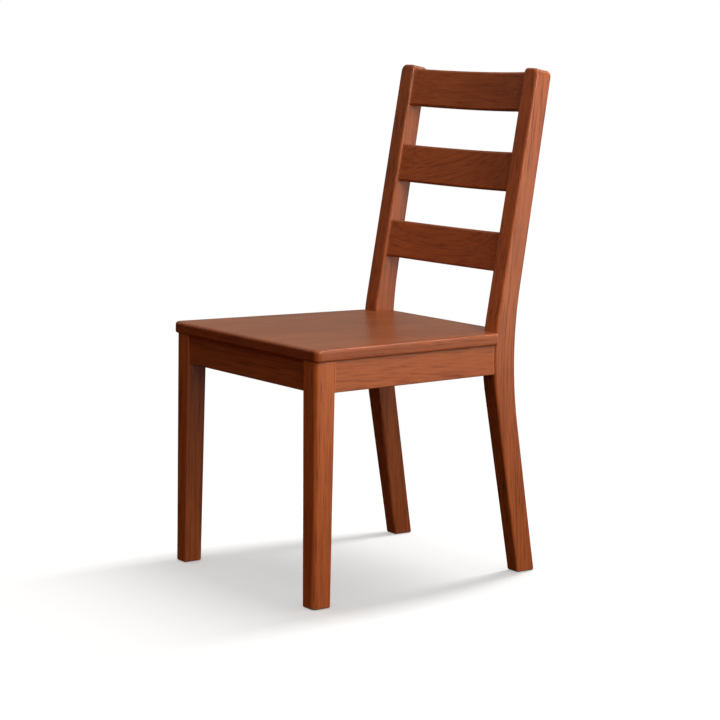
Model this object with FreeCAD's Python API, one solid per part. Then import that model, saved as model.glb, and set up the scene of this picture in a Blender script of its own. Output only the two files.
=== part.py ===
import FreeCAD, Part
import math
import os
from FreeCAD import Vector

# Ladder-back dining chair in solid wood: solid seat board, two bent back posts with three
# curved slats, two tapered front legs, four aprons, corner blocks, dowels, screws and glides.
# Millimetres, +Z up, the front of the chair faces -Y, and "right" is +X, as seen from the front.
# The origin is on the floor, below the middle of the chair's outline box.

# ---- overall sizes ----
chair_height = 928.0
seat_height = 451.5
front_width = 450.0             # over the outer faces of the front legs
rear_width = 404.0              # over the outer faces of the back posts
leg_front_y = -264.2            # front faces of the front legs: centres the outline box on the origin
floor_gap = 1.0                 # the glides hold the legs this far off the floor

# ---- front legs ----
leg_size = 40.0                 # square section at the aprons
leg_foot_width = 33.0           # section at the floor, across the chair
leg_foot_depth = 37.0
leg_corner_radius = 9.0         # the outer front corner
leg_edge_radius = 3.0
taper_blend_radius = 1500.0     # eases the start of each taper
foot_chamfer = 2.0

# ---- back posts: each is one piece, bent at the seat ----
post_width = 38.0
post_foot_width = 31.0
post_foot_back = 478.0          # front face at the floor, behind the front legs' front faces
post_foot_depth = 41.0
post_bend_back = 405.0          # where the two straight front faces would meet
post_bend_height = 406.0
post_bend_depth = 43.0
post_bend_set_in = 6.0          # from that meeting point back to the curved front face
post_bend_front_radius = 400.0
post_bend_rear_radius = 770.0
post_top_back = 495.0           # front face at the top end
post_top_depth = 35.5
post_corner_radius = 13.0       # outer corner of the top end, seen from the front
post_inner_corner_radius = 8.0
post_edge_radius = 4.5
post_end_allowance = 60.0       # extra length that the end cuts take away
post_cut_reach = 200.0          # the front view is swept this far each way through the post

# ---- seat ----
seat_thickness = 21.5
seat_front_overhang = 3.5
seat_side_overhang = 6.5
seat_corner_radius = 11.0       # in plan, at the front corners
seat_top_edge_radius = 6.0
seat_bottom_edge_radius = 4.0
seat_depth = 464.0
seat_notch_gap = 0.5

# ---- aprons ----
apron_height = 55.0
apron_thickness = 20.0
front_apron_setback = 7.0
side_apron_setback = 2.0
rear_apron_back = 426.0         # front face of the rear apron
apron_edge_radius = 2.0

# ---- slats ----
slat_height = 71.5
slat_thickness = 18.0
slat_setback = 5.0              # from the posts' front faces, at the slat's ends
slat_bow = 16.0
slat_edge_radius = 4.0
lowest_slat_centre = 595.5
slat_pitch = 145.3
slat_names = ["lower_slat", "middle_slat", "top_slat"]
tenon_length = 20.0
tenon_thickness = 10.0
tenon_height = 60.0
tenon_offset = 4.0              # from the slat's front edge to the tenon
mortise_end_gap = 1.0

# ---- corner blocks ----
block_height = 28.0
block_reach = 72.0              # along each apron, from the leg's inner corner
block_rear_reach = 62.0

# ---- dowels ----
dowel_diameter = 8.0
dowel_half_length = 18.0
dowel_end_radius = 1.0
dowel_heights = [390.0, 415.0]

# ---- screws ----
block_screw_length = 34.0
block_screw_diameter = 4.0
block_screw_bite = 14.0         # length of the screw inside the apron
block_screw_offset = 30.0       # from the leg to the screw, along the apron
block_screw_head = 8.0
head_height = 3.0
counterbore_diameter = 9.0
counterbore_length = 40.0
seat_screw_length = 41.0
seat_screw_diameter = 4.5
seat_screw_inset = 8.0          # from the leg's inner corner
seat_screw_head = 9.0
washer_diameter = 16.0
washer_thickness = 1.5
screw_tip_length = 5.0
screw_tip_diameter = 1.0

# ---- glides ----
glide_diameter = 20.0
glide_thickness = 3.0           # let into the foot, all but the gap to the floor
glide_stem_diameter = 6.0
glide_stem_length = 12.0

# ---- places worked out from the sizes above ----
leg_outer_x = front_width / 2
leg_inner_x = leg_outer_x - leg_size
leg_rear_y = leg_front_y + leg_size
post_foot_y = leg_front_y + post_foot_back
post_bend_y = leg_front_y + post_bend_back
post_top_y = leg_front_y + post_top_back
post_face_y = post_bend_y + post_bend_set_in
post_outer_x = rear_width / 2
post_inner_x = post_outer_x - post_width
seat_bottom = seat_height - seat_thickness
apron_bottom = seat_bottom - apron_height
seat_front_y = leg_front_y - seat_front_overhang
seat_rear_y = seat_front_y + seat_depth
front_apron_y = leg_front_y + front_apron_setback
front_apron_inner_y = front_apron_y + apron_thickness
rear_apron_y = leg_front_y + rear_apron_back
rake = math.degrees(math.atan2(post_top_y - post_bend_y, chair_height - post_bend_height))
across_post = Vector(0, math.cos(math.radians(rake)), -math.sin(math.radians(rake)))

# ---- how edges are told apart ----
edge_margin = 1.0               # an edge this close to a level lies on it
full_width_share = 0.8          # an edge covering this share of a width runs right across
corner_reach = leg_size / 3     # an edge this near a corner of the section belongs to it

X_AXIS = Vector(1, 0, 0)
Y_AXIS = Vector(0, 1, 0)
Z_AXIS = Vector(0, 0, 1)
ORIGIN = Vector(0, 0, 0)


# ---------------------------------------------------------------- helpers
def rounded_outline(corners, place):
    """Closed wire through (u, v, radius) corners: a tangent arc, or a sharp corner at radius 0."""
    edges = []
    ends = []
    count = len(corners)
    for index, (u, v, radius) in enumerate(corners):
        here = place(u, v)
        if radius == 0:
            ends.append((here, here))
            continue
        before = place(*corners[index - 1][:2]) - here
        after = place(*corners[(index + 1) % count][:2]) - here
        before.normalize()
        after.normalize()
        half_angle = before.getAngle(after) / 2
        reach = radius / math.tan(half_angle)
        bisector = before + after
        bisector.normalize()
        middle = here + bisector * (radius / math.sin(half_angle) - radius)
        start = here + before * reach
        end = here + after * reach
        edges.append(Part.Arc(start, middle, end).toShape())
        ends.append((start, end))
    for index in range(count):
        edges.append(Part.LineSegment(ends[index - 1][1], ends[index][0]).toShape())
    return Part.Wire(Part.__sortEdges__(edges))


def prism(corners, place, direction):
    """Solid swept from a rounded outline along a direction."""
    return Part.Face(rounded_outline(corners, place)).extrude(direction)


def polygon_prism(points, bottom, height):
    """Upright solid on a flat polygon of (x, y) points."""
    corners = [Vector(x, y, bottom) for x, y in points]
    return Part.Face(Part.makePolygon(corners + corners[:1])).extrude(Z_AXIS * height)


def box(x0, x1, y0, y1, z0, z1):
    return Part.makeBox(x1 - x0, y1 - y0, z1 - z0, Vector(x0, y0, z0))


def mirrored(shape):
    """The left-hand copy of a right-hand piece."""
    return shape.mirror(ORIGIN, X_AXIS)


def rod(centre, direction, diameter, half_length, end_radius):
    """Round dowel with eased ends, centred on a point."""
    start = centre - direction * half_length
    shape = Part.makeCylinder(diameter / 2, 2 * half_length, start, direction)
    rims = [edge for edge in shape.Edges if edge.Closed]
    return shape.makeFillet(end_radius, rims)


def screw(seat_point, direction, head_diameter, diameter, length):
    """Wood screw whose head rests on seat_point and whose shank runs along direction."""
    head = Part.makeCylinder(head_diameter / 2, head_height, seat_point, direction * -1)
    shank_length = length - screw_tip_length
    shank = Part.makeCylinder(diameter / 2, shank_length, seat_point, direction)
    tip_start = seat_point + direction * shank_length
    tip = Part.makeCone(diameter / 2, screw_tip_diameter / 2, screw_tip_length, tip_start, direction)
    return head.fuse([shank, tip]).removeSplitter()


def vertical_edges(shape, x, y):
    """Edges that run up the piece nearest to the corner (x, y) of its section."""
    found = []
    for edge in shape.Edges:
        box_ = edge.BoundBox
        runs_up = box_.ZLength > max(box_.XLength, box_.YLength, edge_margin)
        centre = edge.CenterOfMass
        if runs_up and math.hypot(centre.x - x, centre.y - y) < corner_reach:
            found.append(edge)
    return found


def edges_between(shape, low, high):
    """Edges that lie wholly between two heights."""
    return [e for e in shape.Edges if e.BoundBox.ZMin > low and e.BoundBox.ZMax < high]


# ---------------------------------------------------------------- front legs
def make_front_leg():
    inner_taper = leg_size - leg_foot_width
    rear_taper = leg_size - leg_foot_depth
    front_view = [
        (leg_outer_x, floor_gap, 0),
        (leg_outer_x, seat_bottom, 0),
        (leg_inner_x, seat_bottom, 0),
        (leg_inner_x, apron_bottom, taper_blend_radius),
        (leg_inner_x + inner_taper, floor_gap, 0),
    ]
    side_view = [
        (leg_front_y, floor_gap, 0),
        (leg_front_y, seat_bottom, 0),
        (leg_rear_y, seat_bottom, 0),
        (leg_rear_y, apron_bottom, taper_blend_radius),
        (leg_rear_y - rear_taper, floor_gap, 0),
    ]
    seen_from_front = prism(front_view, lambda u, v: Vector(u, leg_front_y, v), Y_AXIS * leg_size)
    seen_from_side = prism(side_view, lambda u, v: Vector(leg_inner_x, u, v), X_AXIS * leg_size)
    leg = seen_from_front.common(seen_from_side)
    leg = leg.makeFillet(leg_corner_radius, vertical_edges(leg, leg_outer_x, leg_front_y))
    for x, y in [(leg_inner_x, leg_front_y), (leg_outer_x, leg_rear_y), (leg_inner_x, leg_rear_y)]:
        leg = leg.makeFillet(leg_edge_radius, vertical_edges(leg, x, y))
    return leg.makeChamfer(foot_chamfer, edges_between(leg, 0, floor_gap + edge_margin))


# ---------------------------------------------------------------- back posts
def post_side_view(rear_extra=0.0):
    """Side outline of a back post, longer than the post at the top."""
    front_slope = (post_top_y - post_bend_y) / (chair_height - post_bend_height)
    rear_bend_y = post_bend_y + post_bend_depth
    rear_top_y = post_top_y + post_top_depth
    rear_slope = (rear_top_y - rear_bend_y) / (chair_height - post_bend_height)
    over_top = chair_height + post_end_allowance
    return [
        (post_foot_y, floor_gap, 0),
        (post_foot_y + post_foot_depth + rear_extra, floor_gap, 0),
        (rear_bend_y + rear_extra, post_bend_height, post_bend_rear_radius),
        (rear_top_y + rear_slope * post_end_allowance + rear_extra, over_top, 0),
        (post_top_y + front_slope * post_end_allowance, over_top, 0),
        (post_bend_y, post_bend_height, post_bend_front_radius),
    ]


def make_back_post():
    """Right-hand post before its mortises and holes are cut."""
    front_view = [
        (post_outer_x, -post_end_allowance, 0),
        (post_outer_x, chair_height, post_corner_radius),
        (post_inner_x, chair_height, post_inner_corner_radius),
        (post_inner_x, apron_bottom, taper_blend_radius),
        (post_outer_x - post_foot_width, floor_gap, taper_blend_radius),
        (post_outer_x - post_foot_width, -post_end_allowance, 0),
    ]
    start = Vector(0, post_top_y, 0) - across_post * post_cut_reach
    seen_from_front = prism(
        front_view,
        lambda u, v: Vector(u, start.y, v + start.z),
        across_post * 2 * post_cut_reach,
    )
    seen_from_side = prism(
        post_side_view(), lambda u, v: Vector(0, u, v), X_AXIS * (post_outer_x + post_width)
    )
    post = seen_from_side.common(seen_from_front)
    long_edges = []
    for edge in post.Edges:
        box_ = edge.BoundBox
        across_depth = box_.YLength > full_width_share * post_top_depth and box_.ZLength < post_width
        at_foot = box_.ZMax < floor_gap + edge_margin
        seam = box_.XLength > full_width_share * post_foot_width and box_.ZMax < chair_height - post_width
        if not (across_depth or at_foot or seam):
            long_edges.append(edge)
    post = post.makeFillet(post_edge_radius, long_edges)
    return post.makeChamfer(foot_chamfer, edges_between(post, 0, floor_gap + edge_margin))


def behind_post_face():
    """Space taken by the right-hand post and everything outside and behind it."""
    return prism(
        post_side_view(rear_extra=post_width),
        lambda u, v: Vector(post_inner_x, u, v),
        X_AXIS * 2 * post_width,
    )


# ---------------------------------------------------------------- slats
def place_on_post(shape, height):
    """Move a piece drawn across (X), back (Y) and up (Z) to a height on the posts' front faces."""
    moved = shape.copy()
    moved.rotate(ORIGIN, X_AXIS, -rake)
    along = (height - post_bend_height) / (chair_height - post_bend_height)
    moved.translate(Vector(0, post_bend_y + along * (post_top_y - post_bend_y), height))
    return moved


def tenons(length):
    """Both tenons of a slat, or its mortises where length is longer."""
    front = slat_setback + tenon_offset
    right = box(
        post_inner_x, post_inner_x + length,
        front, front + tenon_thickness,
        -tenon_height / 2, tenon_height / 2,
    )
    return [right, mirrored(right)]


def make_slat(height):
    half = post_inner_x
    front_radius = (half ** 2 + slat_bow ** 2) / (2 * slat_bow)
    centre_y = slat_setback + slat_bow - front_radius
    rear_radius = front_radius + slat_thickness
    rear_end_y = centre_y + math.sqrt(rear_radius ** 2 - half ** 2)
    bottom = -slat_height / 2
    front_left = Vector(-half, slat_setback, bottom)
    front_right = Vector(half, slat_setback, bottom)
    rear_left = Vector(-half, rear_end_y, bottom)
    rear_right = Vector(half, rear_end_y, bottom)
    front_middle = Vector(0, centre_y + front_radius, bottom)
    rear_middle = Vector(0, centre_y + rear_radius, bottom)
    outline = Part.Wire([
        Part.Arc(front_left, front_middle, front_right).toShape(),
        Part.LineSegment(front_right, rear_right).toShape(),
        Part.Arc(rear_right, rear_middle, rear_left).toShape(),
        Part.LineSegment(rear_left, front_left).toShape(),
    ])
    board = Part.Face(outline).extrude(Z_AXIS * slat_height)
    long_edges = [edge for edge in board.Edges if edge.BoundBox.XLength > half]
    board = board.makeFillet(slat_edge_radius, long_edges)
    return place_on_post(board.fuse(tenons(tenon_length)).removeSplitter(), height)


# ---------------------------------------------------------------- seat
def seat_side_x(y):
    """Half width of the seat at y: the sides run in towards the back."""
    front_x = leg_outer_x + seat_side_overhang
    rear_x = post_outer_x + seat_side_overhang
    return front_x + (rear_x - front_x) * (y - seat_front_y) / (post_bend_y - seat_front_y)


def make_seat_panel():
    front_x = seat_side_x(seat_front_y)
    rear_x = seat_side_x(seat_rear_y)
    outline = [
        (-front_x, seat_front_y, seat_corner_radius),
        (front_x, seat_front_y, seat_corner_radius),
        (rear_x, seat_rear_y, seat_corner_radius),
        (-rear_x, seat_rear_y, seat_corner_radius),
    ]
    board = prism(outline, lambda u, v: Vector(u, v, seat_bottom), Z_AXIS * seat_thickness)
    top_rim = edges_between(board, seat_height - edge_margin, seat_height + edge_margin)
    board = board.makeFillet(seat_top_edge_radius, top_rim)
    bottom_rim = edges_between(board, seat_bottom - edge_margin, seat_bottom + edge_margin)
    board = board.makeFillet(seat_bottom_edge_radius, bottom_rim)
    notch = behind_post_face()
    notch.translate(Vector(-seat_notch_gap, -seat_notch_gap, 0))
    return board.cut([notch, mirrored(notch)])


# ---------------------------------------------------------------- aprons
def side_apron_x(y):
    """Outer face of the right-hand side apron at y."""
    front_x = leg_outer_x - side_apron_setback
    rear_x = post_outer_x - side_apron_setback
    return front_x + (rear_x - front_x) * (y - leg_rear_y) / (post_bend_y - leg_rear_y)


def eased_underside(apron):
    """Apron with its two long bottom edges rounded."""
    bottom_edges = edges_between(apron, apron_bottom - edge_margin, apron_bottom + edge_margin)
    long_edges = [edge for edge in bottom_edges if edge.Length > 2 * apron_thickness]
    return apron.makeFillet(apron_edge_radius, long_edges)


def make_cross_apron(half_width, front_y):
    blank = box(-half_width, half_width, front_y, front_y + apron_thickness, apron_bottom, seat_bottom)
    return eased_underside(blank)


def make_side_apron():
    rear_y = post_bend_y + post_bend_depth / 2
    points = [
        (side_apron_x(leg_rear_y), leg_rear_y),
        (side_apron_x(rear_y), rear_y),
        (side_apron_x(rear_y) - apron_thickness, rear_y),
        (side_apron_x(leg_rear_y) - apron_thickness, leg_rear_y),
    ]
    blank = polygon_prism(points, apron_bottom, apron_height)
    return eased_underside(blank).cut(behind_post_face())


# ---------------------------------------------------------------- corner blocks
def corner_block(apron_y, corner_x, corner_y, reach):
    """Block notched round a leg's inner corner; reach runs from there along both aprons."""
    away = math.copysign(reach, corner_y - apron_y)
    points = [
        (corner_x - reach, apron_y),
        (corner_x, apron_y),
        (corner_x, corner_y),
        (side_apron_x(corner_y) - apron_thickness, corner_y),
        (side_apron_x(corner_y + away) - apron_thickness, corner_y + away),
    ]
    return polygon_prism(points, seat_bottom - block_height, block_height)


def block_screw_places():
    """Seat point and direction of each screw on the right: two in each corner block."""
    height = seat_bottom - block_height / 2
    stand_off = block_screw_length - block_screw_bite
    run_in = side_apron_x(leg_rear_y) - side_apron_x(post_bend_y)
    side_direction = Vector(post_bend_y - leg_rear_y, run_in, 0)
    side_direction.normalize()
    front_screw = Vector(leg_inner_x - block_screw_offset, front_apron_inner_y + stand_off, height)
    rear_screw = Vector(post_inner_x - block_screw_offset, rear_apron_y - stand_off, height)
    places = [(front_screw, Y_AXIS * -1), (rear_screw, Y_AXIS)]
    for y in (leg_rear_y + block_screw_offset, post_face_y - block_screw_offset):
        on_apron = Vector(side_apron_x(y) - apron_thickness, y, height)
        places.append((on_apron - side_direction * stand_off, side_direction))
    return places


def seat_screw_places():
    """Underside points of the right-hand corner blocks where the seat screws go up."""
    block_bottom = seat_bottom - block_height
    front = Vector(leg_inner_x - seat_screw_inset, leg_rear_y + seat_screw_inset, block_bottom)
    rear = Vector(post_inner_x - seat_screw_inset, post_face_y - seat_screw_inset, block_bottom)
    return [front, rear]


# ---------------------------------------------------------------- dowels
def dowel_pair(x, y, direction):
    centres = [Vector(x, y, height) for height in dowel_heights]
    return [rod(c, direction, dowel_diameter, dowel_half_length, dowel_end_radius) for c in centres]


def front_apron_dowels():
    return dowel_pair(leg_inner_x, front_apron_y + apron_thickness / 2, X_AXIS)


def rear_apron_dowels():
    return dowel_pair(post_inner_x, rear_apron_y + apron_thickness / 2, X_AXIS)


def side_apron_dowels():
    half = apron_thickness / 2
    at_leg = dowel_pair(side_apron_x(leg_rear_y) - half, leg_rear_y, Y_AXIS)
    at_post = dowel_pair(side_apron_x(post_face_y) - half, post_face_y, Y_AXIS)
    return at_leg + at_post


# ---------------------------------------------------------------- glides
def make_glide(x, y):
    disc = Part.makeCylinder(glide_diameter / 2, glide_thickness, Vector(x, y, 0))
    stem = Part.makeCylinder(glide_stem_diameter / 2, glide_stem_length, Vector(x, y, glide_thickness))
    return disc.fuse(stem).removeSplitter()


# ---------------------------------------------------------------- the chair
def with_mirror(shapes):
    return shapes + [mirrored(shape) for shape in shapes]


def build_chair():
    front_leg = make_front_leg()
    back_post = make_back_post()
    side_apron = make_side_apron()
    front_apron = make_cross_apron(leg_inner_x, front_apron_y)
    rear_apron = make_cross_apron(post_inner_x, rear_apron_y)
    seat = make_seat_panel()

    joint_dowels = {
        "front_apron_dowels": with_mirror(front_apron_dowels()),
        "rear_apron_dowels": with_mirror(rear_apron_dowels()),
        "side_apron_right_dowels": side_apron_dowels(),
        "side_apron_left_dowels": [mirrored(dowel) for dowel in side_apron_dowels()],
    }
    all_dowels = [dowel for group in joint_dowels.values() for dowel in group]

    screw_places = block_screw_places()
    block_screws = [
        screw(point, direction, block_screw_head, block_screw_diameter, block_screw_length)
        for point, direction in screw_places
    ]
    counterbores = [
        Part.makeCylinder(counterbore_diameter / 2, counterbore_length, point, direction * -1)
        for point, direction in screw_places
    ]
    washers = []
    seat_screws = []
    for point in seat_screw_places():
        washer = Part.makeCylinder(washer_diameter / 2, washer_thickness, point - Z_AXIS * washer_thickness)
        head_seat = point - Z_AXIS * washer_thickness
        seat_screw = screw(head_seat, Z_AXIS, seat_screw_head, seat_screw_diameter, seat_screw_length)
        washers.append(washer.cut(seat_screw))
        seat_screws.append(seat_screw)

    glides = [
        make_glide(leg_outer_x - leg_foot_width / 2, leg_front_y + leg_foot_depth / 2),
        make_glide(post_outer_x - post_foot_width / 2, post_foot_y + post_foot_depth / 2),
    ]

    mortises = []
    slats = {}
    for index, name in enumerate(slat_names):
        height = lowest_slat_centre + index * slat_pitch
        slats[name] = make_slat(height)
        for mortise in tenons(tenon_length + mortise_end_gap):
            mortises.append(place_on_post(mortise, height))

    front_leg = front_leg.cut(all_dowels + [glides[0]])
    back_post = back_post.cut(all_dowels + mortises + [glides[1]])
    block_holes = block_screws + counterbores + seat_screws
    front_block = corner_block(front_apron_inner_y, leg_inner_x, leg_rear_y, block_reach).cut(block_holes)
    rear_block = corner_block(rear_apron_y, post_inner_x, post_face_y, block_rear_reach).cut(block_holes)
    side_apron = side_apron.cut(all_dowels + block_screws)
    both_block_screws = with_mirror(block_screws)
    both_seat_screws = with_mirror(seat_screws)
    front_apron = front_apron.cut(all_dowels + both_block_screws)
    rear_apron = rear_apron.cut(all_dowels + both_block_screws)
    seat = seat.cut(both_seat_screws)

    nodes = {
        "seat_panel": [seat],
        "front_leg_right": [front_leg],
        "front_leg_left": [mirrored(front_leg)],
        "back_post_right": [back_post],
        "back_post_left": [mirrored(back_post)],
        "front_apron": [front_apron],
        "rear_apron": [rear_apron],
        "side_apron_right": [side_apron],
        "side_apron_left": [mirrored(side_apron)],
        "corner_block_front_right": [front_block],
        "corner_block_front_left": [mirrored(front_block)],
        "corner_block_rear_right": [rear_block],
        "corner_block_rear_left": [mirrored(rear_block)],
        "corner_block_screws": both_block_screws,
        "seat_screws": both_seat_screws,
        "seat_screw_washers": with_mirror(washers),
        "foot_glide_front_right": [glides[0]],
        "foot_glide_front_left": [mirrored(glides[0])],
        "foot_glide_rear_right": [glides[1]],
        "foot_glide_rear_left": [mirrored(glides[1])],
    }
    for name, shape in slats.items():
        nodes[name] = [shape]
    nodes.update(joint_dowels)
    return nodes


def write_parts(nodes):
    os.makedirs("parts", exist_ok=True)
    for name, shapes in nodes.items():
        solids = [solid for shape in shapes for solid in shape.Solids]
        whole = solids[0] if len(solids) == 1 else Part.makeCompound(solids)
        whole.exportStep(os.path.join("parts", name + ".step"))
        print(name, len(solids), "solid(s)", "valid" if whole.isValid() else "INVALID")


write_parts(build_chair())
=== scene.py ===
import math

import bpy
from mathutils import Euler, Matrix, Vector


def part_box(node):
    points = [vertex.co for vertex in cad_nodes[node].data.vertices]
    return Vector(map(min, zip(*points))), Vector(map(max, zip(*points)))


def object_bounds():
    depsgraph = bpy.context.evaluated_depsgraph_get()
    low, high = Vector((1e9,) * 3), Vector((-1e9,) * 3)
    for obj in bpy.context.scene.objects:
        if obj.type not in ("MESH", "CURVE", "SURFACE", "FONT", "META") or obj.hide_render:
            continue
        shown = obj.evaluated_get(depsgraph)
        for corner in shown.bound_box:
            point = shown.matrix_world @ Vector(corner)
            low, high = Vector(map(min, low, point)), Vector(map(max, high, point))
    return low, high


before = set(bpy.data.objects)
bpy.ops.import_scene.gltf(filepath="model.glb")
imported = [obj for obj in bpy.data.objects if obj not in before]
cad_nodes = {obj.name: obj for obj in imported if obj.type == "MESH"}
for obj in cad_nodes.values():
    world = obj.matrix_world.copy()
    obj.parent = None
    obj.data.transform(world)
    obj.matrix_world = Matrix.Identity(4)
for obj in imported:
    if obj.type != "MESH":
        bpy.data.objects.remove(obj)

cad_low, cad_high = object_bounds()
chair_middle = (cad_low + cad_high) / 2

# Sizes are in metres, colours are linear and angles are in degrees, unless a comment says otherwise.

# ---- camera ----
CAMERA_AZIMUTH = 53.61
CAMERA_ELEVATION = 7.40
CAMERA_ROLL = 0.949
CAMERA_DISTANCE = 4.012
CAMERA_AIM_RIGHT = -0.00675      # from the middle of the chair, across the view
CAMERA_AIM_UP = -0.0200
CAMERA_LENS_MM = 109.13
CAMERA_SENSOR_MM = 36.0
CAMERA_FAR = 200.0
CAMERA_SHIFT_Y = -0.0417         # the chair stands a little above the middle of the frame

# ---- studio ----
FLOOR_HALF_SIZE = 30.0
FLOOR_COLOUR = (0.84, 0.87, 0.96, 1.0)       # evens out the warmth of the lamps
FLOOR_GLOW = 0.39                # the pale floor is lit from below as on a light table
FLOOR_EDGE = (0.55, 1.15)        # the floor fades into the white backdrop between these radii
WHITE = (1.0, 1.0, 1.0, 1.0)
AMBIENT_LOW = (0.0, 0.0, 0.0, 1.0)
AMBIENT_HIGH = (0.545, 0.515, 0.445, 1.0)
LAMP_COLOUR = (1.0, 0.965, 0.87)
SHEEN_COLOUR = (1.0, 0.955, 0.85)
WARM_COLOUR = (1.0, 0.90, 0.74)
FILL_COLOUR = (1.0, 0.30, 0.05)

# ---- wood finish ----
LIGHT_STAIN = (0.400, 0.102, 0.0285, 1.0)
DARK_STAIN = (0.120, 0.0215, 0.0056, 1.0)
RED_STAIN = (0.285, 0.051, 0.0130, 1.0)
# pale edge colour: rubbed stain, and also a painted highlight along the arrises
WORN_STAIN_AND_HIGHLIGHT = (0.620, 0.250, 0.115, 1.0)
RAW_LIGHT = (0.620, 0.430, 0.255, 1.0)
RAW_DARK = (0.370, 0.215, 0.105, 1.0)
RAW_PINK = (0.560, 0.350, 0.200, 1.0)
STAINED_ROUGHNESS = 0.36
RAW_ROUGHNESS = 0.62
WOOD_SPECULAR = 0.30
COAT_WEIGHT = 0.25
COAT_ROUGHNESS = 0.24

# ---- wood figure: cycles a metre, across the grain and along it ----
SWAY_CYCLES = (9.0, 2.6)
BREAK_CYCLES = (130.0, 16.0)
BLOTCH_CYCLES = (14.0, 5.0)
STREAK_CYCLES = (230.0, 6.0)
DASH_CYCLES = (430.0, 17.0)
FIBRE_CYCLES = (900.0, 22.0)
PORE_CYCLES = (1500.0, 55.0)
WARMTH_CYCLES = (7.0, 3.0)
RUB_AND_HIGHLIGHT_CYCLES = (60.0, 20.0)
WAVE_CYCLES = (55.0, 12.0)

# ---- how far each thing darkens the stain ----
BASE_DARKNESS = 0.18
RING_DARKNESS = 0.55
STREAK_DARKNESS = 0.36
DASH_DARKNESS = 0.30
FIBRE_DARKNESS = 0.50
PORE_DARKNESS = 0.45
BLOTCH_DARKNESS = 0.60
CUT_END_DARKNESS = 0.30
STAVE_DARKNESS = 0.10

# ---- how the grain is placed ----
SEED_STEP = (1.7, 2.3, 3.1)      # moves the noise to a fresh place for each piece
STAVE_STEP = (0.037, 0.06, 3.0)  # moves the rings from stave to stave
POST_BEND_HEIGHT = 0.406
POST_BEND_SOFTNESS = 0.06
RUB_AND_HIGHLIGHT_REACH = 0.005                # edges are lightened this far in: rubbed stain, and a painted highlight along the arrises
RUB_AND_HIGHLIGHT_STRENGTH = 0.55

# ---- fittings ----
STEEL_DARK = (0.48, 0.47, 0.44, 1.0)
STEEL_LIGHT = (0.66, 0.65, 0.62, 1.0)
PLASTIC_DARK = (0.018, 0.015, 0.013, 1.0)
PLASTIC_SCUFFED = (0.050, 0.044, 0.040, 1.0)


# ---------------------------------------------------------------- camera and lamps
def make_camera():
    azimuth = math.radians(CAMERA_AZIMUTH)
    elevation = math.radians(CAMERA_ELEVATION)
    roll = math.radians(CAMERA_ROLL)
    back = Vector((
        math.sin(azimuth) * math.cos(elevation),
        -math.cos(azimuth) * math.cos(elevation),
        math.sin(elevation),
    ))
    right = Vector((math.cos(azimuth), math.sin(azimuth), 0.0))
    up = back.cross(right)
    aim = chair_middle + right * CAMERA_AIM_RIGHT + up * CAMERA_AIM_UP
    data = bpy.data.cameras.new("camera")
    data.lens = CAMERA_LENS_MM
    data.sensor_width = CAMERA_SENSOR_MM
    data.shift_y = CAMERA_SHIFT_Y
    data.clip_end = CAMERA_FAR
    camera = bpy.data.objects.new("camera", data)
    bpy.context.scene.collection.objects.link(camera)
    axis_x = right * math.cos(roll) + up * math.sin(roll)
    axis_y = up * math.cos(roll) - right * math.sin(roll)
    matrix = camera.matrix_world.copy()
    for row in range(3):
        matrix[row][0] = axis_x[row]
        matrix[row][1] = axis_y[row]
        matrix[row][2] = back[row]
        matrix[row][3] = (aim + back * CAMERA_DISTANCE)[row]
    camera.matrix_world = matrix
    bpy.context.scene.camera = camera


def make_area_light(name, place, aim, width, depth, power, colour):
    """Rectangular soft light; width runs level, depth up or away."""
    data = bpy.data.lights.new(name, "AREA")
    data.shape = "RECTANGLE"
    data.size = width
    data.size_y = depth
    data.energy = power
    data.color = colour
    light = bpy.data.objects.new(name, data)
    bpy.context.scene.collection.objects.link(light)
    light.location = place
    light.rotation_mode = "QUATERNION"
    light.rotation_quaternion = (Vector(aim) - Vector(place)).to_track_quat("-Z", "Y")
    light.visible_camera = False
    return light


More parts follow.
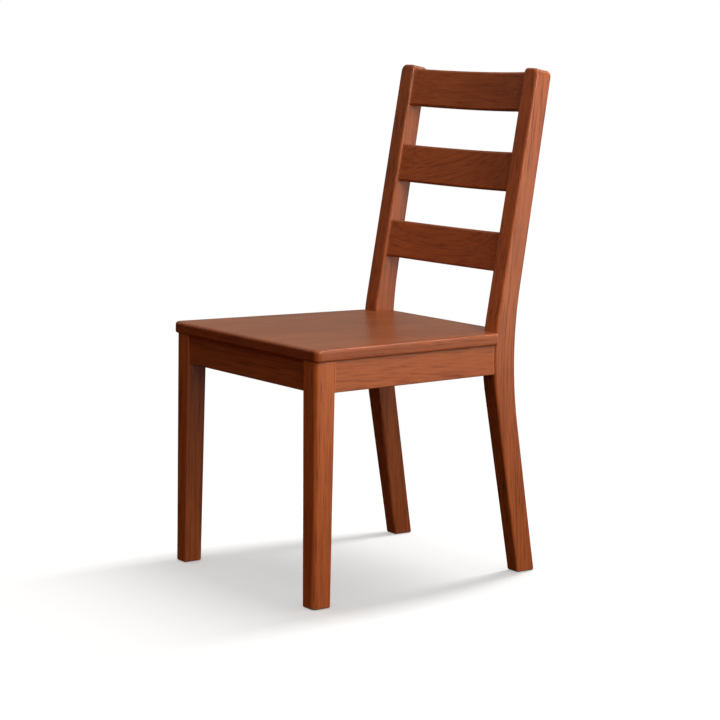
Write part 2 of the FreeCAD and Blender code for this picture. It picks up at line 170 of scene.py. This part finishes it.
# ---------------------------------------------------------------- node helpers
class Nodes:
    """Adds nodes to one node tree; inputs given as sockets are linked, others are set."""

    def __init__(self, tree):
        self.tree = tree
        tree.nodes.clear()

    def add(self, kind, inputs=None, **settings):
        node = self.tree.nodes.new(kind)
        for name, value in settings.items():
            setattr(node, name, value)
        for name, value in (inputs or {}).items():
            if isinstance(value, bpy.types.NodeSocket):
                self.tree.links.new(value, node.inputs[name])
            else:
                node.inputs[name].default_value = value
        return node

    def calc(self, operation, *values):
        node = self.add("ShaderNodeMath", dict(enumerate(values)), operation=operation)
        return node.outputs[0]

    def scaled(self, vector, x, y, z):
        node = self.add("ShaderNodeVectorMath", {0: vector, 1: (x, y, z)}, operation="MULTIPLY")
        return node.outputs[0]

    def noise(self, vector, x, y, z, detail=2.0, roughness=0.5):
        """Noise of about x, y and z cycles a metre along each axis, from 0 to 1."""
        inputs = {
            "Vector": self.scaled(vector, x, y, z), "Scale": 1.0,
            "Detail": detail, "Roughness": roughness,
        }
        return self.add("ShaderNodeTexNoise", inputs).outputs["Fac"]

    def grain_noise(self, grain, cycles, detail=2.0, roughness=0.5):
        """Noise drawn out along the grain; cycles a metre are given across and along."""
        across, along = cycles
        return self.noise(grain, across, across, along, detail, roughness)

    def total(self, start, *terms):
        """start plus, for each (value, middle, weight), the value less its middle times the weight."""
        for value, middle, weight in terms:
            offset = self.calc("SUBTRACT", value, middle) if middle else value
            start = self.calc("MULTIPLY_ADD", offset, weight, start)
        return start

    def shifted(self, vector, offset):
        return self.add("ShaderNodeVectorMath", {0: vector, 1: offset}).outputs[0]

    def remap(self, value, low, high, to_low=0.0, to_high=1.0, kind="LINEAR"):
        inputs = {"Value": value, "From Min": low, "From Max": high, "To Min": to_low, "To Max": to_high}
        return self.add("ShaderNodeMapRange", inputs, interpolation_type=kind).outputs[0]

    def mix(self, factor, first, second, blend="MIX"):
        node = self.add("ShaderNodeMix", data_type="RGBA", blend_type=blend)
        pairs = {0: factor, 6: first, 7: second}
        for index, value in pairs.items():
            if isinstance(value, bpy.types.NodeSocket):
                self.tree.links.new(value, node.inputs[index])
            else:
                node.inputs[index].default_value = value
        return node.outputs[2]


def new_material(name):
    material = bpy.data.materials.new(name)
    material.use_nodes = True
    return material, Nodes(material.node_tree)


def finish_material(nodes, surface):
    nodes.add("ShaderNodeOutputMaterial", {"Surface": surface.outputs["BSDF"]})


# ---------------------------------------------------------------- wood
GRAIN_TURNS = {                  # turns the piece's long direction to the grain's Z
    "X": (0.0, -90.0, 0.0),
    "Y": (90.0, 0.0, 0.0),
    "Z": (0.0, 0.0, 0.0),
}


def grain_frame(nodes, centre, axis, pith, slope, bend):
    """Coordinates with Z along the grain and the tree's middle on the Z axis."""
    turn = Euler([math.radians(angle) for angle in GRAIN_TURNS[axis]]).to_matrix()
    lean = Euler([math.radians(angle) for angle in slope] + [0.0]).to_matrix()
    rotation = lean @ turn
    place = nodes.add("ShaderNodeTexCoord").outputs["Object"]
    if bend:
        parts = nodes.add("ShaderNodeSeparateXYZ", {0: place})
        above = nodes.calc("SUBTRACT", parts.outputs["Z"], POST_BEND_HEIGHT)
        eased = nodes.calc("SQRT", nodes.calc("MULTIPLY_ADD", above, above, POST_BEND_SOFTNESS ** 2))
        shift = nodes.calc("MULTIPLY_ADD", eased, -bend, parts.outputs["Y"])
        place = nodes.add("ShaderNodeCombineXYZ", {
            "X": parts.outputs["X"], "Y": shift, "Z": parts.outputs["Z"],
        }).outputs[0]
    offset = Vector((-pith[0], -pith[1], 0.0)) - rotation @ centre
    mapping = nodes.add("ShaderNodeMapping", {
        "Vector": place, "Location": offset, "Rotation": rotation.to_euler(),
    })
    return mapping.outputs[0], rotation


def move_staves(nodes, grain, seeded, width, seed):
    """Each glued board is cut from another place in the tree, and has a tone of its own."""
    parts = nodes.add("ShaderNodeSeparateXYZ", {0: grain})
    number = nodes.calc("FLOOR", nodes.calc("DIVIDE", parts.outputs["X"], width))
    own = nodes.calc("ADD", number, seed)
    tone = nodes.add("ShaderNodeTexWhiteNoise", {"W": own}, noise_dimensions="1D").outputs["Value"]
    moved = nodes.add("ShaderNodeCombineXYZ", {
        "X": nodes.calc("MULTIPLY", number, STAVE_STEP[0]),
        "Y": nodes.calc("MULTIPLY", tone, STAVE_STEP[1]),
        "Z": nodes.calc("MULTIPLY", tone, STAVE_STEP[2]),
    }).outputs[0]
    return nodes.shifted(grain, moved), nodes.shifted(seeded, moved), tone


def growth_rings(nodes, tree, seeded, ring, sway):
    """Rings round the middle of the tree, bent by slow noise and broken up by finer noise."""
    across, along = SWAY_CYCLES
    sway_noise = nodes.add("ShaderNodeTexNoise", {
        "Vector": nodes.scaled(seeded, across, across, along), "Scale": 1.0, "Detail": 2.0,
    })
    swayed = nodes.add("ShaderNodeVectorMath", {
        0: sway_noise.outputs["Color"], 1: (sway, sway, 0.0), 2: tree,
    }, operation="MULTIPLY_ADD").outputs[0]
    flat = nodes.scaled(swayed, 1.0, 1.0, 0.0)
    radius = nodes.add("ShaderNodeVectorMath", {0: flat}, operation="LENGTH").outputs["Value"]
    count = nodes.calc("DIVIDE", radius, ring)
    early = nodes.calc("POWER", nodes.calc("SUBTRACT", 1.0, nodes.calc("FRACT", count)), 2.0)
    year = nodes.add("ShaderNodeTexWhiteNoise", {"W": nodes.calc("FLOOR", count)}, noise_dimensions="1D")
    line = nodes.calc("MULTIPLY", early, nodes.remap(year.outputs["Value"], 0.0, 1.0, 0.25, 1.0))
    broken = nodes.remap(nodes.grain_noise(seeded, BREAK_CYCLES, detail=3.0), 0.38, 0.62, 0.25, 1.1)
    return nodes.calc("MULTIPLY", line, broken)


def cut_ends(nodes, rotation):
    """1 on faces cut across the grain."""
    facing = nodes.add("ShaderNodeVectorMath", {
        0: nodes.add("ShaderNodeTexCoord").outputs["Normal"],
        1: rotation.transposed() @ Vector((0.0, 0.0, 1.0)),
    }, operation="DOT_PRODUCT").outputs["Value"]
    return nodes.remap(nodes.calc("ABSOLUTE", facing), 0.75, 1.0)


def upright_faces(nodes):
    """1 on faces that stand upright."""
    normal = nodes.add("ShaderNodeTexCoord").outputs["Normal"]
    parts = nodes.add("ShaderNodeSeparateXYZ", {0: normal})
    return nodes.remap(nodes.calc("ABSOLUTE", parts.outputs["Z"]), 0.5, 0.1, kind="SMOOTHSTEP")


def rubbed_edges_and_highlight(nodes, seeded):
    """Where edges are touched and the stain has gone thin; made strong enough that it also paints a
    highlight along the arrises.
    """
    edge = nodes.add(
        "ShaderNodeAmbientOcclusion", {"Distance": RUB_AND_HIGHLIGHT_REACH}, samples=6, inside=True, only_local=True
    )
    rub_and_highlight = nodes.remap(edge.outputs["AO"], 0.30, 0.95, RUB_AND_HIGHLIGHT_STRENGTH, 0.0, kind="SMOOTHSTEP")
    patchy = nodes.remap(nodes.grain_noise(seeded, RUB_AND_HIGHLIGHT_CYCLES), 0.3, 0.7, 0.3, 1.0)
    return nodes.calc("MULTIPLY", rub_and_highlight, patchy)


def wood_bump(nodes, seeded, height):
    """Pores and fibres over a slight unevenness."""
    fine = nodes.add("ShaderNodeBump", {"Height": height, "Distance": 0.00012, "Strength": 0.5})
    wave = nodes.grain_noise(seeded, WAVE_CYCLES)
    bump = nodes.add("ShaderNodeBump", {
        "Height": wave, "Distance": 0.0004, "Strength": 0.35, "Normal": fine.outputs[0],
    })
    return bump.outputs[0]


def wood_material(name, centre, axis, pith=(0.06, 0.08), slope=(0.8, 0.5), ring=0.0034, seed=0.0,
                  bend=0.0, tone=1.0, figure=1.0, streaks=1.0, sway=0.008, raw=False,
                  staves=0.0, upright_face_darkening=0.0):
    """Wood whose rings, pores and fibres run through the whole piece; stained and lacquered unless raw."""
    light, dark, red = (RAW_LIGHT, RAW_DARK, RAW_PINK) if raw else (LIGHT_STAIN, DARK_STAIN, RED_STAIN)
    material, nodes = new_material(name)
    grain, rotation = grain_frame(nodes, centre, axis, pith, slope, bend)
    seeded = nodes.shifted(grain, [seed * step for step in SEED_STEP])
    tree = grain
    if staves:
        tree, seeded, stave_tone = move_staves(nodes, grain, seeded, staves, seed)
    ring_line = growth_rings(nodes, tree, seeded, ring, sway)

    # Streaks, fibres and pores, all long in the grain's direction.
    blotch = nodes.grain_noise(seeded, BLOTCH_CYCLES, detail=3.0)
    streak = nodes.remap(nodes.grain_noise(seeded, STREAK_CYCLES, detail=3.0, roughness=0.6), 0.38, 0.66)
    dash = nodes.remap(nodes.grain_noise(seeded, DASH_CYCLES), 0.54, 0.68)
    fibre = nodes.grain_noise(seeded, FIBRE_CYCLES, detail=3.0, roughness=0.65)
    pore_field = nodes.grain_noise(seeded, PORE_CYCLES, detail=1.0)
    pore_start = nodes.calc("MULTIPLY_ADD", ring_line, -0.14, 0.70)
    pore = nodes.remap(nodes.calc("SUBTRACT", pore_field, pore_start), 0.0, 0.05, kind="SMOOTHSTEP")

    darkness = nodes.total(
        BASE_DARKNESS,
        (ring_line, 0.0, RING_DARKNESS * figure),
        (streak, 0.5, STREAK_DARKNESS * streaks),
        (dash, 0.0, DASH_DARKNESS * streaks),
        (fibre, 0.5, FIBRE_DARKNESS),
        (pore, 0.0, PORE_DARKNESS),
        (blotch, 0.62, BLOTCH_DARKNESS),
        (cut_ends(nodes, rotation), 0.0, CUT_END_DARKNESS),
    )
    if staves:
        darkness = nodes.total(darkness, (stave_tone, 0.5, STAVE_DARKNESS))
    # The seat's upright faces are made darker than its top.
    if upright_face_darkening:
        darkness = nodes.total(darkness, (upright_faces(nodes), 0.0, upright_face_darkening))
    stain = nodes.mix(nodes.remap(darkness, 0.0, 1.0), light, dark)
    warmth = nodes.remap(nodes.grain_noise(seeded, WARMTH_CYCLES), 0.35, 0.75, 0.0, 0.35)
    stain = nodes.mix(warmth, stain, red)
    # Edges are lightened: partly rubbed stain, partly a painted highlight along the arrises.
    stain = nodes.mix(rubbed_edges_and_highlight(nodes, seeded), stain, RAW_LIGHT if raw else WORN_STAIN_AND_HIGHLIGHT)
    # A piece's tone scales its whole colour; on the front apron and the far post it paints shade, on the
    # near front leg it paints light.
    if tone != 1.0:
        stain = nodes.mix(1.0, stain, (tone, tone, tone, 1.0), blend="MULTIPLY")

    rough = nodes.total(
        RAW_ROUGHNESS if raw else STAINED_ROUGHNESS,
        (fibre, 0.5, 0.16),
        (pore, 0.0, 0.22),
        (blotch, 0.5, 0.10),
    )
    height = nodes.total(0.0, (fibre, 0.0, 0.35), (pore, 0.0, -1.0), (ring_line, 0.0, -0.30))
    surface = nodes.add("ShaderNodeBsdfPrincipled", {
        "Base Color": stain,
        "Roughness": rough,
        "Normal": wood_bump(nodes, seeded, height),
        "Specular IOR Level": WOOD_SPECULAR,
    })
    if not raw:
        surface.inputs["Coat Weight"].default_value = COAT_WEIGHT
        surface.inputs["Coat Roughness"].default_value = COAT_ROUGHNESS
    finish_material(nodes, surface)
    return material


# ---------------------------------------------------------------- fittings
def steel_material():
    material, nodes = new_material("zinc_steel")
    place = nodes.add("ShaderNodeTexCoord").outputs["Object"]
    spangle = nodes.noise(place, 260.0, 260.0, 260.0, detail=4.0)
    scratch = nodes.noise(place, 2400.0, 2400.0, 300.0, detail=2.0)
    colour = nodes.mix(spangle, STEEL_DARK, STEEL_LIGHT)
    bump = nodes.add("ShaderNodeBump", {"Height": scratch, "Distance": 0.00005, "Strength": 0.4})
    surface = nodes.add("ShaderNodeBsdfPrincipled", {
        "Base Color": colour,
        "Roughness": nodes.remap(scratch, 0.3, 0.7, 0.28, 0.46),
        "Normal": bump.outputs[0],
        "Metallic": 1.0,
    })
    finish_material(nodes, surface)
    return material


def plastic_material():
    material, nodes = new_material("glide_plastic")
    place = nodes.add("ShaderNodeTexCoord").outputs["Object"]
    grain = nodes.noise(place, 1800.0, 1800.0, 1800.0, detail=2.0)
    scuff = nodes.noise(place, 220.0, 220.0, 60.0, detail=4.0)
    colour = nodes.mix(nodes.remap(scuff, 0.35, 0.75), PLASTIC_DARK, PLASTIC_SCUFFED)
    bump = nodes.add("ShaderNodeBump", {"Height": grain, "Distance": 0.00004, "Strength": 0.5})
    surface = nodes.add("ShaderNodeBsdfPrincipled", {
        "Base Color": colour,
        "Roughness": nodes.remap(scuff, 0.3, 0.7, 0.45, 0.65),
        "Normal": bump.outputs[0],
    })
    finish_material(nodes, surface)
    return material


def give(node_name, material):
    """The node shows this material all over."""
    mesh = cad_nodes[node_name].data
    mesh.materials.clear()
    mesh.materials.append(material)


# ---------------------------------------------------------------- materials on the chair
WOOD = {
    "seat_panel": dict(axis="Y", pith=(0.02, -0.16), slope=(0.4, 0.3), ring=0.0042, seed=1.0,
                       staves=0.092, figure=0.55, streaks=0.9, upright_face_darkening=0.22, tone=0.97),
    # The near front leg is brightened (tone 1.10): painted light where the lamps fall on it.
    "front_leg_right": dict(axis="Z", pith=(-0.08, 0.09), slope=(0.3, 0.4), ring=0.0034, seed=2.0,
                            tone=1.10, streaks=1.6),
    "front_leg_left": dict(axis="Z", pith=(-0.09, -0.08), slope=(0.4, -0.3), ring=0.0034, seed=3.0,
                           streaks=1.6),
    "back_post_right": dict(axis="Z", pith=(0.09, 0.10), slope=(0.6, 0.4), ring=0.0036, seed=4.0,
                            bend=0.08, tone=0.98, streaks=1.6),
    # The far post is darkened (tone 0.95): painted shade that tones down its sheen.
    "back_post_left": dict(axis="Z", pith=(-0.09, 0.10), slope=(-0.5, 0.4), ring=0.0032, seed=5.0,
                           bend=0.08, tone=0.95, streaks=1.6),
    # The front apron is darkened (tone 0.82): painted shade under the seat's overhang.
    "front_apron": dict(axis="X", pith=(0.06, 0.08), ring=0.0035, seed=6.0, tone=0.82, streaks=1.3),
    "rear_apron": dict(axis="X", pith=(0.07, 0.08), ring=0.0035, seed=7.0),
    "side_apron_right": dict(axis="Y", pith=(0.08, 0.06), slope=(0.5, 0.7), ring=0.0040, seed=8.0,
                             figure=1.1, sway=0.014),
    "side_apron_left": dict(axis="Y", pith=(-0.08, 0.06), slope=(0.5, 0.7), ring=0.0040, seed=9.0),
    "lower_slat": dict(axis="X", pith=(-0.03, 0.06), slope=(2.0, 0.6), ring=0.0046, seed=10.0, sway=0.012),
    "middle_slat": dict(axis="X", pith=(-0.045, 0.06), slope=(4.0, 15.0), ring=0.0042, seed=11.0,
                        figure=1.15, streaks=1.2, sway=0.010),
    "top_slat": dict(axis="X", pith=(0.10, 0.05), slope=(0.3, 0.3), ring=0.0036, seed=12.0, figure=1.1),
}
RAW_WOOD = {
    "corner_block_front_right": "X", "corner_block_front_left": "X",
    "corner_block_rear_right": "X", "corner_block_rear_left": "X",
    "front_apron_dowels": "X", "rear_apron_dowels": "X",
    "side_apron_right_dowels": "Y", "side_apron_left_dowels": "Y",
}


def middle_of(node_name):
    low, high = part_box(node_name)
    return (low + high) / 2


def dress_chair():
    for name, settings in WOOD.items():
        give(name, wood_material("wood_" + name, middle_of(name), **settings))
    for number, (name, axis) in enumerate(RAW_WOOD.items()):
        give(name, wood_material("raw_" + name, middle_of(name), axis, seed=20.0 + number, raw=True))
    steel = steel_material()
    for name in ("corner_block_screws", "seat_screws", "seat_screw_washers"):
        give(name, steel)
    plastic = plastic_material()
    for name in cad_nodes:
        if name.startswith("foot_glide"):
            give(name, plastic)


# ---------------------------------------------------------------- studio
def make_floor():
    size = FLOOR_HALF_SIZE
    mesh = bpy.data.meshes.new("studio_floor")
    corners = [(-size, -size, 0.0), (size, -size, 0.0), (size, size, 0.0), (-size, size, 0.0)]
    mesh.from_pydata(corners, [], [(0, 1, 2, 3)])
    floor = bpy.data.objects.new("studio_floor", mesh)
    bpy.context.scene.collection.objects.link(floor)
    floor.location.z = cad_low.z
    material, nodes = new_material("pale_floor")
    paper = nodes.add("ShaderNodeBsdfDiffuse", {"Color": FLOOR_COLOUR})
    glow = nodes.add("ShaderNodeEmission", {"Color": WHITE, "Strength": FLOOR_GLOW})
    near = nodes.add("ShaderNodeAddShader", {0: paper.outputs[0], 1: glow.outputs[0]})
    place = nodes.add("ShaderNodeTexCoord").outputs["Object"]
    radius = nodes.add("ShaderNodeVectorMath", {0: place}, operation="LENGTH").outputs["Value"]
    far = nodes.add("ShaderNodeEmission", {"Color": WHITE, "Strength": 1.0})
    fade = nodes.remap(radius, FLOOR_EDGE[0], FLOOR_EDGE[1], kind="SMOOTHSTEP")
    whole = nodes.add("ShaderNodeMixShader", {0: fade, 1: near.outputs[0], 2: far.outputs[0]})
    nodes.add("ShaderNodeOutputMaterial", {"Surface": whole.outputs[0]})
    mesh.materials.append(material)
    floor.visible_diffuse = False
    floor.visible_glossy = False
    floor.visible_shadow = False
    return floor


def make_world():
    world = bpy.data.worlds.new("studio")
    bpy.context.scene.world = world
    world.use_nodes = True
    nodes = Nodes(world.node_tree)
    direction = nodes.add("ShaderNodeTexCoord").outputs["Generated"]
    parts = nodes.add("ShaderNodeSeparateXYZ", {0: direction})
    height = nodes.remap(parts.outputs["Z"], -0.1, 0.9, kind="SMOOTHSTEP")
    ambient = nodes.mix(height, AMBIENT_LOW, AMBIENT_HIGH)
    unseen = nodes.add("ShaderNodeBackground", {"Color": ambient, "Strength": 1.0})
    seen = nodes.add("ShaderNodeBackground", {"Color": WHITE, "Strength": 1.0})
    camera_ray = nodes.add("ShaderNodeLightPath").outputs["Is Camera Ray"]
    mixed = nodes.add("ShaderNodeMixShader", {0: camera_ray, 1: unseen.outputs[0], 2: seen.outputs[0]})
    nodes.add("ShaderNodeOutputWorld", {"Surface": mixed.outputs[0]})


def lit_only(name, objects, lights):
    """Make the lights shine on these objects alone."""
    group = bpy.data.collections.new(name)
    for item in objects:
        group.objects.link(item)
    for light in lights:
        light.light_linking.receiver_collection = group


CHAIR_LIGHTS = [                 # name, place, aim, width, depth, watts, colour
    ("right_far", (3.0, -0.3, 1.4), chair_middle, 1.4, 1.4, 28.0, LAMP_COLOUR),
    ("right_near", (1.35, 0.05, 1.45), (0.2, 0.0, 0.75), 0.7, 0.7, 14.5, LAMP_COLOUR),
    ("low_sheen", (2.4, 1.75, 0.50), (0.0, 0.0, 0.4), 1.6, 1.0, 11.5, SHEEN_COLOUR),
    ("top_sheen", (2.2, 1.75, 1.5), (0.25, 0.25, 0.9), 0.6, 0.6, 3.6, LAMP_COLOUR),
    ("back_sheen", (-2.6, 1.45, 0.7), (0.0, 0.0, 0.45), 2.0, 1.2, 1.7, WARM_COLOUR),
    ("edge_glint", (0.5, 1.4, 2.3), (0.1, 0.0, 0.5), 0.35, 0.35, 8.0, WHITE[:3]),
    ("front_fill", (0.2, -2.8, 0.55), chair_middle, 1.6, 0.9, 5.5, FILL_COLOUR),
    ("low_fill", (2.4, -0.9, 0.25), (0.0, 0.0, 0.25), 1.2, 0.5, 2.2, FILL_COLOUR),
]
REAR_FILL = ("rear_fill", (-1.8, 2.6, 1.7), chair_middle, 1.4, 1.4, 16.0, LAMP_COLOUR)
FLOOR_LIGHT = ("floor_strip", (-0.08, 0.70, 2.3), (-0.05, -0.1, 0.0), 0.35, 1.9, 35.0, LAMP_COLOUR)


def make_lights(floor):
    """The rear fill leaves the seat out, which would mirror it towards the camera."""
    all_but_seat = [node for name, node in cad_nodes.items() if name != "seat_panel"]
    lit_only("chair_lit", cad_nodes.values(), [make_area_light(*light) for light in CHAIR_LIGHTS])
    lit_only("frame_lit", all_but_seat, [make_area_light(*REAR_FILL)])
    lit_only("floor_lit", [floor], [make_area_light(*FLOOR_LIGHT)])


def set_picture_tone():
    settings = bpy.context.scene.view_settings
    settings.view_transform = "Standard"
    settings.look = "None"
    settings.exposure = 0.0
    settings.gamma = 1.0


make_camera()
make_lights(make_floor())
make_world()
set_picture_tone()
dress_chair()
